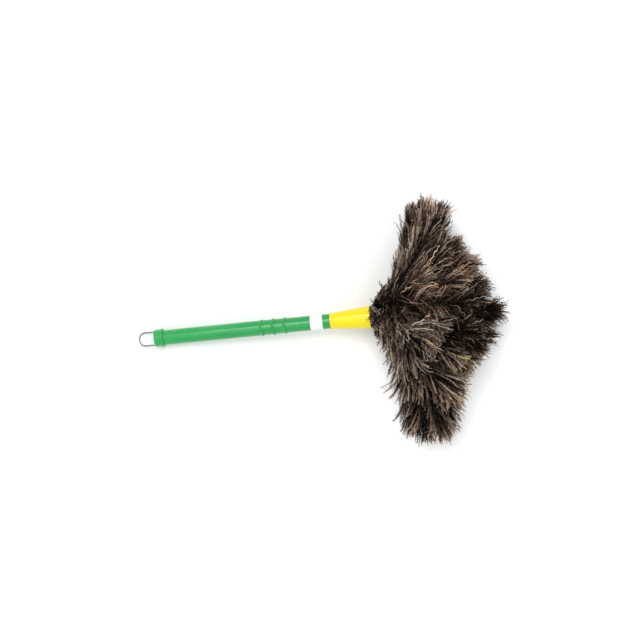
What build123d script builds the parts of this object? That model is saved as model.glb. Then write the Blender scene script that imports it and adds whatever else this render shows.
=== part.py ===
"""A feather duster of 0.6 m, laid on a flat surface.

A plastic tube handle has a wire hanging loop in its end cap. A conical collar at its front holds a head of
curved feathers, bound in three tiers on a turned wooden core.

Lengths are millimetres and angles are degrees. The handle's pieces are drawn about the handle's own axis,
with +X from the outer face of the end cap towards the head. They are then leaned and lifted, because the
head's feathers hold the front of the handle off the surface while the end cap rests on it. The feathers are
drawn in the laid frame.
"""

from build123d import *
import math
import os

# How the duster lies
LEAN = 6.0  # the handle rises towards the head by this angle

# End cap, from its outer face at 0
CAP_R = 14.25
CAP_EDGE = 1.4  # how far the rounding of the cap's rear edge reaches
CAP_BEVEL_STEP = 0.3  # share of that rounding at its middle point
CAP_FLANGE_R = 15.25
CAP_FLANGE_START = 10.5
CAP_FLANGE_RAMP = 1.0
CAP_FLANGE_END = 15.0
CAP_FLANGE_CHAMFER = 0.8
CAP_NECK_R = 11.3
CAP_PLUG_R = 10.15
CAP_PLUG_END = 36.0
CAP_LEAD_LENGTH = 2.0  # of the plug's lead-in
CAP_LEAD_DEPTH = 1.0

# Hanging loop of round wire. Its feet turn out into holes in the sides of the cap, so that it pivots.
WIRE_R = 1.25
LOOP_HALF_WIDTH = 10.95
LOOP_REACH = 33.5  # from the pivot to the middle of the wire at the far end
LOOP_PIVOT = 3.2  # behind the cap's outer face
LOOP_BEND_R = 1.5
LOOP_FOOT_END = 13.6  # the feet stop this far from the middle plane
PIVOT_CLEARANCE = 0.05
FOOT_HOLE_LENGTH = 4.0
LOOP_SWING = 16.5  # to its stop, either way from the handle's line. It lies dropped to the lower stop.
SLOT_DEPTH = 5.0
SLOT_INNER = 8.2
SLOT_OUTER = 12.4
SLOT_HEIGHT = 4.6

# Handle tube
TUBE_START = 16.5
TUBE_BORE_R = 10.2
TUBE_BACK_R = 12.3
TUBE_GRIP_R = 12.5
TUBE_FRONT_R = 12.0
TUBE_GRIP_FROM = 60.0
TUBE_GRIP_TO = 165.0
TUBE_SOCKET_RAMP_START = 247.0
TUBE_SOCKET_START = 248.0
TUBE_SOCKET_R = 12.25
TUBE_SPIGOT_R = 11.45
TUBE_END = 308.5
TUBE_REAR_CHAMFER = 0.5
BAND_STATIONS = (177.6, 197.0, 216.4)
BAND_LENGTH = 5.5
BAND_RISE = 1.45
BAND_TOP = 1.8  # length of a band's flat top, in front of its ramp
BAND_CHAMFER = 0.4

# Paper band round the socket
LABEL_START = 262.5
LABEL_LENGTH = 20.0
LABEL_THICKNESS = 0.18
PAPER_GAP = 0.02

# Conical collar, pushed over the tube's spigot
COLLAR_START = 295.0
MOUTH = 362.0
COLLAR_SMALL_R = 12.6
COLLAR_MOUTH_R = 19.1
COLLAR_WALL = 1.5
COLLAR_FIT = 0.05
COLLAR_CHAMFER = 0.4
COLLAR_LIP_R = 0.6
COLLAR_SEAT_PAST_TUBE = 1.0

# Turned wooden core and the pin that keeps it in the tube
CORE_START = 235.0
CORE_SHANK_R = 10.1
CORE_FRONT = 352.0
CORE_POINT = 1.6
CORE_CHAMFER = 1.0
CORE_STEP_PAST_TUBE = 1.0
CORE_STEP_PAST_BINDING = 7.0
PIN_STATION = 302.0
PIN_R = 1.0
PIN_TIP = -8.0
PIN_BELOW_SPIGOT = 0.3
PIN_END_GAP = 0.5
PIN_HOLE_OPENING = 1.0
PIN_CLEARANCE = 0.03

# Tiers of bound feathers. "seat" is the station where the quills begin on the core, "over" is the station and
# radius at which they clear the tier in front, and "mouth_r" and "flare" say how they leave the collar.
QUILL_R = 1.2
QUILL_GAP = 0.15
BINDING_WIRE_R = 0.5
BINDING_TURNS = 6
BINDING_PITCH = 1.02
BINDING_FROM_SEAT = 5.5
STRAIGHT_LENGTH = 9.5
TIERS = {
    "inner": {"seat_r": 3.6, "seat": 338.0, "over": (352.0, 6.0), "mouth_r": 7.8, "flare": 6.0},
    "middle": {"seat_r": 5.0, "seat": 324.0, "over": (340.0, 8.8), "mouth_r": 11.9, "flare": 14.0},
    "outer": {"seat_r": 7.0, "seat": 310.5, "over": (326.0, 10.3), "mouth_r": 15.9, "flare": 24.0},
}
INNER_SHARE = 0.26
MIDDLE_SHARE = 0.33

# Rows of feathers in the laid head, from the surface up: height of the tips, how much higher every other tip
# lies, how many, the plan angles that the row fans over, its share of the full reach, how steeply its tips
# point down, and its arch
ROWS = (
    {"height": 1, "lift": 17, "count": 12, "from": -82, "to": 70, "share": 1.00, "droop": 0.0, "arch": 0},
    {"height": 42, "lift": 15, "count": 11, "from": -78, "to": 67, "share": 1.00, "droop": -0.10, "arch": 6},
    {"height": 82, "lift": 13, "count": 9, "from": -72, "to": 66, "share": 0.97, "droop": -0.25, "arch": 16},
    {"height": 118, "lift": 10, "count": 7, "from": -62, "to": 62, "share": 0.86, "droop": -0.40, "arch": 26},
    {"height": 148, "lift": 0, "count": 4, "from": -44, "to": 46, "share": 0.60, "droop": -0.50, "arch": 30},
)
# How far from the collar's mouth the head reaches in plan, at plan angles from the handle's line
REACHES = (
    (-80, 171),
    (-77, 199),
    (-74, 229),
    (-66, 238),
    (-53, 224),
    (-44, 194),
    (-29, 198),
    (-18, 211),
    (-6, 220),
    (2, 220),
    (12, 194),
    (22, 200),
    (37, 198),
    (44, 182),
    (53, 233),
    (61, 210),
    (68, 182),
)
STAGGER = 0.25  # every other row is shifted sideways by this share of its spacing
HEIGHT_WEIGHT = 2.2  # how much more a tip's height counts than its side offset, when tiers are given
CURL = 1.22  # a feather's end points this many times as far to the side as its tip lies
START_ARM = 0.24  # how strongly a spine keeps its first direction, as a share of its length
END_ARM = 0.38  # the same for its last direction
SPINE_STEPS = 48
SECTION_EVERY = 4
BLADE_WIDTH = 34.0
BLADE_THICKNESS = 4.4
TIP_WIDTH = 7.0
TIP_THICKNESS = 1.6
WIDEST_AT = 0.70
BLADE_SWELL = 1.2  # how late a blade widens
ROOM_SHARE = 0.41  # a blade's half width takes no more than this share of the way to the nearest other spine


def turned(outline):
    """A solid turned about the handle's axis from an outline of (station, radius) points."""
    return revolve(make_face(Polyline(*outline, close=True)), Axis.X)


def rest_height():
    """Height of the handle's axis at the cap's outer face, with the cap's flange on the surface."""
    lean = math.radians(LEAN)
    return CAP_FLANGE_R * math.cos(lean) - (CAP_FLANGE_START + CAP_FLANGE_RAMP) * math.sin(lean)


def lay(shape):
    """The shape leaned and lifted as the handle lies."""
    return Pos(0, 0, rest_height()) * Rot(0, -LEAN, 0) * shape


def laid_point(station, radius, angle):
    """A point of the handle's frame in the laid frame. Angle 0 is up, and 90 is towards +Y."""
    lean = math.radians(LEAN)
    side = radius * math.sin(math.radians(angle))
    up = radius * math.cos(math.radians(angle))
    along = station * math.cos(lean) - up * math.sin(lean)
    return Vector(along, side, rest_height() + station * math.sin(lean) + up * math.cos(lean))


def end_cap():
    """Plug with a flange, a slot for each leg of the loop and a hole through each side for its feet."""
    body = turned(
        [
            (0, 0),
            (0, CAP_R - CAP_EDGE),
            (CAP_EDGE * CAP_BEVEL_STEP, CAP_R - CAP_EDGE * CAP_BEVEL_STEP),
            (CAP_EDGE, CAP_R),
            (CAP_FLANGE_START, CAP_R),
            (CAP_FLANGE_START + CAP_FLANGE_RAMP, CAP_FLANGE_R),
            (CAP_FLANGE_END - CAP_FLANGE_CHAMFER, CAP_FLANGE_R),
            (CAP_FLANGE_END, CAP_FLANGE_R - CAP_FLANGE_CHAMFER),
            (CAP_FLANGE_END, CAP_NECK_R),
            (TUBE_START, CAP_NECK_R),
            (TUBE_START, CAP_PLUG_R),
            (CAP_PLUG_END - CAP_LEAD_LENGTH, CAP_PLUG_R),
            (CAP_PLUG_END, CAP_PLUG_R - CAP_LEAD_DEPTH),
            (CAP_PLUG_END, 0),
        ]
    )
    slot_middle = (SLOT_OUTER + SLOT_INNER) / 2
    slot = Box(SLOT_DEPTH, SLOT_OUTER - SLOT_INNER, SLOT_HEIGHT)
    foot_hole = Rot(90, 0, 0) * Cylinder(WIRE_R + PIVOT_CLEARANCE, FOOT_HOLE_LENGTH)
    for side in (-1, 1):
        body -= Pos(SLOT_DEPTH / 2, side * slot_middle, 0) * slot
        body -= Pos(LOOP_PIVOT, side * LOOP_FOOT_END, 0) * foot_hole
    return body


def hanging_loop():
    """U of wire with two feet turned out, dropped about its pivot to its lower stop."""
    leg_start = LOOP_PIVOT - LOOP_BEND_R
    bow_middle = LOOP_PIVOT - LOOP_REACH + LOOP_HALF_WIDTH
    bend_side = LOOP_HALF_WIDTH + LOOP_BEND_R
    edges = [
        Line((LOOP_PIVOT, LOOP_FOOT_END), (LOOP_PIVOT, bend_side)),
        CenterArc((leg_start, bend_side), LOOP_BEND_R, 0, -90),
        Line((leg_start, LOOP_HALF_WIDTH), (bow_middle, LOOP_HALF_WIDTH)),
        CenterArc((bow_middle, 0), LOOP_HALF_WIDTH, 90, 180),
        Line((bow_middle, -LOOP_HALF_WIDTH), (leg_start, -LOOP_HALF_WIDTH)),
        CenterArc((leg_start, -bend_side), LOOP_BEND_R, 90, -90),
        Line((LOOP_PIVOT, -bend_side), (LOOP_PIVOT, -LOOP_FOOT_END)),
    ]
    path = Wire(edges)
    section = Plane(origin=path @ 0, z_dir=path % 0) * Circle(WIRE_R)
    loop = sweep(section, path)
    return Pos(LOOP_PIVOT, 0, 0) * Rot(0, -LOOP_SWING, 0) * Pos(-LOOP_PIVOT, 0, 0) * loop


def tube_radius(station):
    """Outer radius of the tube's taper in front of the grip."""
    along = (station - TUBE_GRIP_TO) / (TUBE_SOCKET_RAMP_START - TUBE_GRIP_TO)
    return TUBE_GRIP_R + along * (TUBE_FRONT_R - TUBE_GRIP_R)


def handle_tube():
    """Tube with a slightly fuller grip, three ramped bands, and a socket that ends in the collar's spigot."""
    outline = [
        (TUBE_START, TUBE_BORE_R),
        (TUBE_START, TUBE_BACK_R - TUBE_REAR_CHAMFER),
        (TUBE_START + TUBE_REAR_CHAMFER, TUBE_BACK_R),
    ]
    outline += [(TUBE_GRIP_FROM, TUBE_GRIP_R), (TUBE_GRIP_TO, TUBE_GRIP_R)]
    for station in BAND_STATIONS:
        crest = tube_radius(station) + BAND_RISE
        front = station + BAND_LENGTH
        outline += [(station, tube_radius(station)), (front - BAND_TOP, crest), (front - BAND_CHAMFER, crest)]
        outline += [(front, crest - BAND_CHAMFER), (front, tube_radius(front))]
    outline += [
        (TUBE_SOCKET_RAMP_START, TUBE_FRONT_R),
        (TUBE_SOCKET_START, TUBE_SOCKET_R),
        (COLLAR_START, TUBE_SOCKET_R),
        (COLLAR_START, TUBE_SPIGOT_R),
        (TUBE_END, TUBE_SPIGOT_R),
        (TUBE_END, TUBE_BORE_R),
    ]
    return turned(outline) - pin_hole()


def label_band():
    """Paper band wrapped round the socket."""
    inner = TUBE_SOCKET_R + PAPER_GAP
    outer = inner + LABEL_THICKNESS
    front = LABEL_START + LABEL_LENGTH
    return turned([(LABEL_START, inner), (LABEL_START, outer), (front, outer), (front, inner)])


def collar():
    """Conical shell, seated on the spigot at its small end and open at its mouth."""
    seat_r = TUBE_SPIGOT_R + COLLAR_FIT
    back = COLLAR_START + COLLAR_FIT
    return turned(
        [
            (back, seat_r),
            (back, COLLAR_SMALL_R - COLLAR_CHAMFER),
            (back + COLLAR_CHAMFER, COLLAR_SMALL_R),
            (MOUTH - COLLAR_LIP_R, COLLAR_MOUTH_R),
            (MOUTH, COLLAR_MOUTH_R - COLLAR_LIP_R),
            (MOUTH, COLLAR_MOUTH_R - COLLAR_WALL),
            (TUBE_END + COLLAR_SEAT_PAST_TUBE, seat_r),
        ]
    )


def pin_hole():
    """Radial hole through the spigot's wall and into the core."""
    bottom = PIN_TIP - PIN_END_GAP
    depth = TUBE_SPIGOT_R + PIN_HOLE_OPENING - bottom
    return Pos(PIN_STATION, 0, bottom + depth / 2) * Cylinder(PIN_R + PIN_CLEARANCE, depth)


def core_pin():
    """Headless pin that keeps the core in the tube, under the collar."""
    length = TUBE_SPIGOT_R - PIN_BELOW_SPIGOT - PIN_TIP
    return Pos(PIN_STATION, 0, PIN_TIP + length / 2) * Cylinder(PIN_R, length)


def core_rod():
    """Turned core: a shank in the tube, then three steps that carry the quills."""
    outline = [
        (CORE_START, 0),
        (CORE_START, CORE_SHANK_R - CORE_CHAMFER),
        (CORE_START + CORE_CHAMFER, CORE_SHANK_R),
    ]
    step = TUBE_END + CORE_STEP_PAST_TUBE
    radius = CORE_SHANK_R
    for tier in ("outer", "middle", "inner"):
        outline += [(step, radius), (step, TIERS[tier]["seat_r"])]
        radius = TIERS[tier]["seat_r"]
        step = TIERS[tier]["seat"] + BINDING_FROM_SEAT + CORE_STEP_PAST_BINDING
    outline += [(CORE_FRONT - CORE_POINT, radius), (CORE_FRONT, radius - CORE_POINT), (CORE_FRONT, 0)]
    return turned(outline) - pin_hole()


def binding(tier):
    """Turns of wire that press one tier's quills on to the core."""
    ring_r = TIERS[tier]["seat_r"] + 2 * (QUILL_R + QUILL_GAP) + BINDING_WIRE_R
    start = TIERS[tier]["seat"] + BINDING_FROM_SEAT - BINDING_PITCH * (BINDING_TURNS - 1) / 2
    wound = Solid.make_torus(ring_r, BINDING_WIRE_R).rotate(Axis.Y, 90)
    return Compound([Pos(start + BINDING_PITCH * turn, 0, 0) * wound for turn in range(BINDING_TURNS)])


def reach_at(angle):
    """How far the head reaches in plan at a plan angle."""
    for (low, near), (high, far) in zip(REACHES, REACHES[1:]):
        if angle <= high:
            return near + (far - near) * max(0.0, angle - low) / (high - low)
    return REACHES[-1][1]


def row_angles(row, shift):
    """Plan angles of one row's tips, shifted by a share of the spacing that fades towards the row's ends."""
    count = row["count"]
    angles = []
    for place in range(count):
        fade = 1 - abs(2 * place / (count - 1) - 1)
        angles.append(row["from"] + (row["to"] - row["from"]) * (place + 0.5 + shift * fade) / count)
    return angles


def tips():
    """The feathers' tips: each with its row, plan angle, and where it lies from the middle of the head."""
    mouth = laid_point(MOUTH, 0, 0)
    found = []
    for number, row in enumerate(ROWS):
        for place, angle in enumerate(row_angles(row, STAGGER if number % 2 else -STAGGER)):
            reach = reach_at(angle) * row["share"]
            turn = math.radians(angle)
            height = row["height"] + row["lift"] * (place % 2)
            point = Vector(mouth.X + reach * math.cos(turn), reach * math.sin(turn), height)
            found.append({"row": row, "plan": angle, "point": point})
    middle_height = sum(tip["point"].Z for tip in found) / len(found)
    for tip in found:
        above = (tip["point"].Z - middle_height) * HEIGHT_WEIGHT
        tip["around"] = math.degrees(math.atan2(tip["point"].Y, above))
        tip["offset"] = math.hypot(tip["point"].Y, above)
    return found


def tiered(found):
    """Lists of tips by tier, nearest the middle of the head first, each with its place round the core."""
    by_offset = sorted(found, key=lambda tip: tip["offset"])
    first_cut = round(INNER_SHARE * len(found))
    second_cut = first_cut + round(MIDDLE_SHARE * len(found))
    members = {
        "inner": by_offset[:first_cut],
        "middle": by_offset[first_cut:second_cut],
        "outer": by_offset[second_cut:],
    }
    for group in members.values():
        group.sort(key=lambda tip: tip["around"])
        pitch = 360 / len(group)
        start = sum(tip["around"] - pitch * place for place, tip in enumerate(group)) / len(group)
        for place, tip in enumerate(group):
            tip["seat_angle"] = start + pitch * place
    return members


def bound_quill(tier, seat_angle):
    """Stations and radii of a quill from its cut end on the core to the collar's mouth, as laid points."""
    on_core = tier["seat_r"] + QUILL_R + QUILL_GAP
    clear_of_binding = tier["seat"] + STRAIGHT_LENGTH
    course = [(tier["seat"], on_core), (clear_of_binding, on_core), tier["over"], (MOUTH, tier["mouth_r"])]
    return [laid_point(station, radius, seat_angle) for station, radius in course]


def spine(tip, tier):
    """Points along a feather from the collar's mouth to its tip."""
    start = laid_point(MOUTH, tier["mouth_r"], tip["seat_angle"])
    flare = math.radians(tier["flare"])
    beyond = laid_point(MOUTH + math.cos(flare), tier["mouth_r"] + math.sin(flare), tip["seat_angle"])
    end = tip["point"]
    length = (end - start).length
    turn = math.radians(tip["plan"] * CURL)
    tail = Vector(math.cos(turn), math.sin(turn), tip["row"]["droop"]).normalized()
    lift = Vector(0, 0, tip["row"]["arch"])
    first = start + (beyond - start) * (START_ARM * length) + lift
    second = end - tail * (END_ARM * length) + lift
    points = []
    for step in range(SPINE_STEPS + 1):
        t = step / SPINE_STEPS
        u = 1 - t
        points.append(start * u**3 + first * (3 * u * u * t) + second * (3 * u * t * t) + end * t**3)
    return points


def blade_size(share):
    """Half width and half thickness of a blade at a share of its free length."""
    if share < WIDEST_AT:
        grown = math.sin(math.pi / 2 * share / WIDEST_AT) ** BLADE_SWELL
        return (
            QUILL_R + (BLADE_WIDTH / 2 - QUILL_R) * grown,
            QUILL_R + (BLADE_THICKNESS / 2 - QUILL_R) * grown,
        )
    fallen = ((share - WIDEST_AT) / (1 - WIDEST_AT)) ** 2
    return (
        BLADE_WIDTH / 2 - (BLADE_WIDTH - TIP_WIDTH) / 2 * fallen,
        BLADE_THICKNESS / 2 - (BLADE_THICKNESS - TIP_THICKNESS) / 2 * fallen,
    )


def oval(plane, half_width, half_thickness):
    """Upper and lower half of an oval section."""
    halves = []
    for start in (0, 180):
        halves.append(plane * EllipticalCenterArc((0, 0), half_width, half_thickness, start, arc_size=180))
    return halves


def skinned(ovals):
    """Closed solid through a row of ovals, ruled straight from each to the next."""
    faces = [Face(Wire(ovals[0])), Face(Wire(ovals[-1]))]
    for near, far in zip(ovals, ovals[1:]):
        faces += [Face.make_surface_from_curves(one, other) for one, other in zip(near, far)]
    return Solid(Shell(faces))


def feather(quill, points, other_points):
    """One plume: its round quill on the core, then a flat blade along its spine, as wide as there is room."""
    lean = math.radians(LEAN)
    along = Vector(math.cos(lean), 0, math.sin(lean))
    ovals = [oval(Plane(origin=point, z_dir=along, x_dir=(0, 1, 0)), QUILL_R, QUILL_R) for point in quill]
    for step in range(SECTION_EVERY, SPINE_STEPS + 1, SECTION_EVERY):
        tangent = (points[min(step + 1, SPINE_STEPS)] - points[step - 1]).normalized()
        half_width, half_thickness = blade_size(step / SPINE_STEPS)
        room = min(math.dist(tuple(points[step]), other) for other in other_points)
        half_width = max(QUILL_R, min(half_width, ROOM_SHARE * room))
        half_thickness = min(half_thickness, half_width)
        sideways = tangent.cross(Vector(0, 0, -1)).normalized()
        across = Plane(origin=points[step], z_dir=tangent, x_dir=sideways)
        ovals.append(oval(across, half_width, half_thickness))
    return skinned(ovals)


def feathers():
    """All plumes by node name."""
    members = tiered(tips())
    spines = {}
    for tier, group in members.items():
        for number, tip in enumerate(group, start=1):
            spines[f"feather_{tier}_{number:02d}"] = (TIERS[tier], tip, spine(tip, TIERS[tier]))
    clouds = {name: [tuple(point) for point in points] for name, (_, _, points) in spines.items()}
    solids = {}
    for name, (tier, tip, points) in spines.items():
        others = [point for other, cloud in clouds.items() if other != name for point in cloud]
        solids[name] = feather(bound_quill(tier, tip["seat_angle"]), points, others)
    return solids


def main():
    """Builds every piece, moves the origin to the bottom centre of the whole, and writes each to its file."""
    parts = {
        "handle_tube": lay(handle_tube()),
        "end_cap": lay(end_cap()),
        "hanging_loop": lay(hanging_loop()),
        "label_band": lay(label_band()),
        "collar": lay(collar()),
        "core_rod": lay(core_rod()),
        "core_pin": lay(core_pin()),
    }
    for tier in TIERS:
        parts[f"binding_{tier}"] = lay(binding(tier))
    parts.update(feathers())
    boxes = [shape.bounding_box() for shape in parts.values()]
    low = Vector(*(min(getattr(box.min, axis) for box in boxes) for axis in "XYZ"))
    high = Vector(*(max(getattr(box.max, axis) for box in boxes) for axis in "XYZ"))
    to_origin = Pos(-(low.X + high.X) / 2, -(low.Y + high.Y) / 2, -low.Z)
    os.makedirs("parts", exist_ok=True)
    for name, shape in parts.items():
        export_step(to_origin * shape, f"parts/{name}.step")
    print("size", high - low)
    print("moved by", to_origin.position)


if __name__ == "__main__":
    main()
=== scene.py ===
"""Looks of a feather duster: moulded handle, end cap and collar, wire loop, and a head of soft plumes.

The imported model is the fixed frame. The hard pieces keep their shapes and get finishes. Each plain feather
solid is replaced by a plume with a shaft and hundreds of fringed barbs, grown along the same line.
"""

import logging
import math
from dataclasses import dataclass, field, replace
from enum import Enum

import bpy
import numpy as np
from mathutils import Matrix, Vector


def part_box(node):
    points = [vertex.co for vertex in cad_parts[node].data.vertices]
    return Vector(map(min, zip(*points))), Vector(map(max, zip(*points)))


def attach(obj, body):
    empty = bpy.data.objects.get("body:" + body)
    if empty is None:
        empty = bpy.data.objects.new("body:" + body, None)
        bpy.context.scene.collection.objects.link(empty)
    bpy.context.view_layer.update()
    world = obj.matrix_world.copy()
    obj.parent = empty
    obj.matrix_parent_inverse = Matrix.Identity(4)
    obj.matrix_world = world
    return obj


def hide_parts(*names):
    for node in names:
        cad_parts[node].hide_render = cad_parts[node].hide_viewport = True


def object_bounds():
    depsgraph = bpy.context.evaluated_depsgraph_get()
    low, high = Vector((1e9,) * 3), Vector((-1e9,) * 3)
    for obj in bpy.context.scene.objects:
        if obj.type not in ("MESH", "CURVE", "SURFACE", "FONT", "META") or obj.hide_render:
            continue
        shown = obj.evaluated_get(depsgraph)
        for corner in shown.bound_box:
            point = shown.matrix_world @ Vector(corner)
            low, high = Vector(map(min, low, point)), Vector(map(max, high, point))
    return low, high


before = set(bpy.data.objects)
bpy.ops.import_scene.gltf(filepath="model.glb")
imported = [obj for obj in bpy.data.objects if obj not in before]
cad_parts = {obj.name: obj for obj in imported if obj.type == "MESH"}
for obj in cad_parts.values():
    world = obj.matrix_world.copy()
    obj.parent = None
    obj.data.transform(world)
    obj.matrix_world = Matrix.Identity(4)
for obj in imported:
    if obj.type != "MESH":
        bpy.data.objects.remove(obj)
CAD_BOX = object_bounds()
MM = 0.001
UP = np.array([0.0, 0.0, 1.0])
LOG = logging.getLogger("feather_duster")
PLUME_BODY = "duster"
VANE_STATIONS = (0.0, 0.5, 1.0)

# Sockets of a mix node, where several share one name.
MIX_FACTOR = 0
MIX_BELOW = 6
MIX_ABOVE = 7

# Order of a plume's materials.
SHAFT_FINISH = 0
BARB_FINISH = 1

Pair = tuple[float, float]
Triple = tuple[float, float, float]
Colour = Triple
Array = np.ndarray
Node = bpy.types.Node
Material = bpy.types.Material


class Slot(Enum):
    """Material slots of the record."""

    GREEN = "green_plastic"
    YELLOW = "yellow_plastic"
    WIRE = "loop_wire"
    PAPER = "paper"
    WOOD = "core_wood"
    STEEL = "fixing_steel"
    BINDING = "binding_wire"
    PLUME = "plume"


def linear(colour: Colour) -> tuple[float, float, float, float]:
    """Turns a display colour into the linear colour that shaders take, by the usual sRGB curve.

    Args:
        colour: red, green and blue as seen on a display, 0 to 255.

    Returns:
        Linear red, green, blue and an alpha of 1.
    """
    channels = []
    for value in colour:
        share = value / 255
        channels.append(share / 12.92 if share <= 0.04045 else ((share + 0.055) / 1.055) ** 2.4)
    return (channels[0], channels[1], channels[2], 1.0)


@dataclass(frozen=True)
class Grain:
    """A noise: features per metre, octaves, and how space is scaled along each axis first."""

    scale: float
    detail: float = 3.0
    stretch: Triple = (1.0, 1.0, 1.0)


class NodeSheet:
    """A material's node tree, with short ways to add nodes and join them."""

    def __init__(self, name: str) -> None:
        """Starts an empty material with an output and a principled shader.

        Args:
            name: the material's name.
        """
        self.material = bpy.data.materials.new(name)
        self.material.use_nodes = True
        self.tree = self.material.node_tree
        self.tree.nodes.clear()
        self.output = self.tree.nodes.new("ShaderNodeOutputMaterial")
        self.shader = self.tree.nodes.new("ShaderNodeBsdfPrincipled")
        self.join(self.shader, "BSDF", self.output, "Surface")
        self.place = self.tree.nodes.new("ShaderNodeTexCoord")

    def add(self, kind: str, **settings: object) -> Node:
        """Adds a node.

        Args:
            kind: the node's type, without its "ShaderNode" prefix.
            settings: attributes of the node.

        Returns:
            The new node.
        """
        node = self.tree.nodes.new("ShaderNode" + kind)
        for key, value in settings.items():
            setattr(node, key, value)
        return node

    def join(self, source: Node, output: str, target: Node, socket: str | int) -> None:
        """Links an output of one node to an input of another."""
        self.tree.links.new(source.outputs[output], target.inputs[socket])

    def noise(self, grain: Grain) -> Node:
        """Adds a noise in the frame's metres.

        Args:
            grain: its scale, detail and stretch.

        Returns:
            The noise node.
        """
        space = self.add("Mapping")
        space.inputs["Scale"].default_value = grain.stretch
        self.join(self.place, "Object", space, "Vector")
        node = self.add("TexNoise")
        node.inputs["Scale"].default_value = grain.scale
        node.inputs["Detail"].default_value = grain.detail
        self.join(space, "Vector", node, "Vector")
        return node

    def ramp(self, source: Node, output: str, stops: list[tuple[float, tuple]]) -> Node:
        """Adds a colour ramp on a value.

        Args:
            source: the node that gives the value.
            output: the name of its output.
            stops: positions from 0 to 1 with their linear colours.

        Returns:
            The ramp node.
        """
        node = self.add("ValToRGB")
        points = node.color_ramp.elements
        while len(points) < len(stops):
            points.new(1.0)
        for point, (position, colour) in zip(points, stops):
            point.position = position
            point.color = colour
        self.join(source, output, node, "Fac")
        return node

    def tints(self) -> Node:
        """Adds the mesh's tint colour, split into its channels.

        Returns:
            The node with the channels.
        """
        tint = self.add("Attribute", attribute_name="tint")
        parts = self.add("SeparateColor")
        self.join(tint, "Color", parts, "Color")
        return parts

    def toned(self, source: Node, limits: Pair, low: Colour, high: Colour) -> None:
        """Colours the shader by a noise.

        Args:
            source: the noise node.
            limits: the noise's values between which the colour changes.
            low: the display colour at the first limit.
            high: the display colour at the second.
        """
        colour = self.ramp(source, "Fac", [(limits[0], linear(low)), (limits[1], linear(high))])
        self.join(colour, "Color", self.shader, "Base Color")

    def span(self, source: Node, limits: Pair, to: Pair) -> Node:
        """Maps a range of a noise on to another range.

        Args:
            source: the noise node.
            limits: the noise's values that map to the two numbers of "to".
            to: the range that comes out.

        Returns:
            The map range node.
        """
        node = self.add("MapRange")
        node.inputs["From Min"].default_value = limits[0]
        node.inputs["From Max"].default_value = limits[1]
        node.inputs["To Min"].default_value = to[0]
        node.inputs["To Max"].default_value = to[1]
        self.join(source, "Fac", node, "Value")
        return node

    def multiply(self, below: Node, output: str) -> Node:
        """Adds a node that multiplies a colour by another.

        Args:
            below: the node with the colour below.
            output: the name of its output.

        Returns:
            The mix node, whose factor and upper colour are still to be set.
        """
        node = self.add("Mix", data_type="RGBA", blend_type="MULTIPLY")
        self.join(below, output, node, MIX_BELOW)
        return node

    def bump(self, source: Node, height: float) -> None:
        """Adds a bump on the shader's normal.

        Args:
            source: the noise node that gives the height.
            height: the relief in metres.
        """
        node = self.add("Bump")
        node.inputs["Distance"].default_value = height
        node.inputs["Strength"].default_value = 1.0
        self.join(source, "Fac", node, "Height")
        self.join(node, "Normal", self.shader, "Normal")


@dataclass(frozen=True)
class MouldedPlastic:
    """Semi-gloss moulded plastic with faint flow marks, duller rubbed patches and fine orange peel."""

    slot: Slot
    face: Colour
    deep: Colour
    flow: Grain = Grain(26.0, 5.0, (0.35, 1.0, 1.0))
    flow_limits: Pair = (0.3, 0.62)
    rubbed: Grain = Grain(60.0, 6.0, (0.5, 1.0, 1.0))
    rubbed_limits: Pair = (0.35, 0.65)
    roughness: Pair = (0.16, 0.30)
    peel: Grain = Grain(900.0, 2.0)
    peel_height: float = 0.03 * MM

    def material(self) -> Material:
        """Builds the material."""
        sheet = NodeSheet(self.slot.value)
        sheet.toned(sheet.noise(self.flow), self.flow_limits, self.deep, self.face)
        dull = sheet.span(sheet.noise(self.rubbed), self.rubbed_limits, self.roughness)
        sheet.join(dull, "Result", sheet.shader, "Roughness")
        sheet.bump(sheet.noise(self.peel), self.peel_height)
        return sheet.material


@dataclass(frozen=True)
class DrawnSteel:
    """Drawn steel wire or rod, with fine lines along its length and duller, darker spots."""

    slot: Slot
    bright: Colour
    dark: Colour
    spots: Grain = Grain(420.0, 5.0)
    spot_limits: Pair = (0.35, 0.6)
    dull_limits: Pair = (0.3, 0.7)
    roughness: Pair = (0.5, 0.25)
    lines: Grain = Grain(2600.0, 2.0, (0.05, 1.0, 1.0))
    line_height: float = 0.01 * MM

    def material(self) -> Material:
        """Builds the material."""
        sheet = NodeSheet(self.slot.value)
        spots = sheet.noise(self.spots)
        sheet.toned(spots, self.spot_limits, self.dark, self.bright)
        dull = sheet.span(spots, self.dull_limits, self.roughness)
        sheet.join(dull, "Result", sheet.shader, "Roughness")
        sheet.bump(sheet.noise(self.lines), self.line_height)
        sheet.shader.inputs["Metallic"].default_value = 1.0
        return sheet.material


@dataclass(frozen=True)
class MattSurface:
    """Matt paper or bare wood: two tones spread by one noise, and a relief of fibres or grain by another."""

    slot: Slot
    low: Colour
    high: Colour
    tones: Grain
    tone_limits: Pair
    relief: Grain
    relief_height: float
    roughness: float

    def material(self) -> Material:
        """Builds the material."""
        sheet = NodeSheet(self.slot.value)
        sheet.toned(sheet.noise(self.tones), self.tone_limits, self.low, self.high)
        sheet.bump(sheet.noise(self.relief), self.relief_height)
        sheet.shader.inputs["Roughness"].default_value = self.roughness
        return sheet.material


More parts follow.
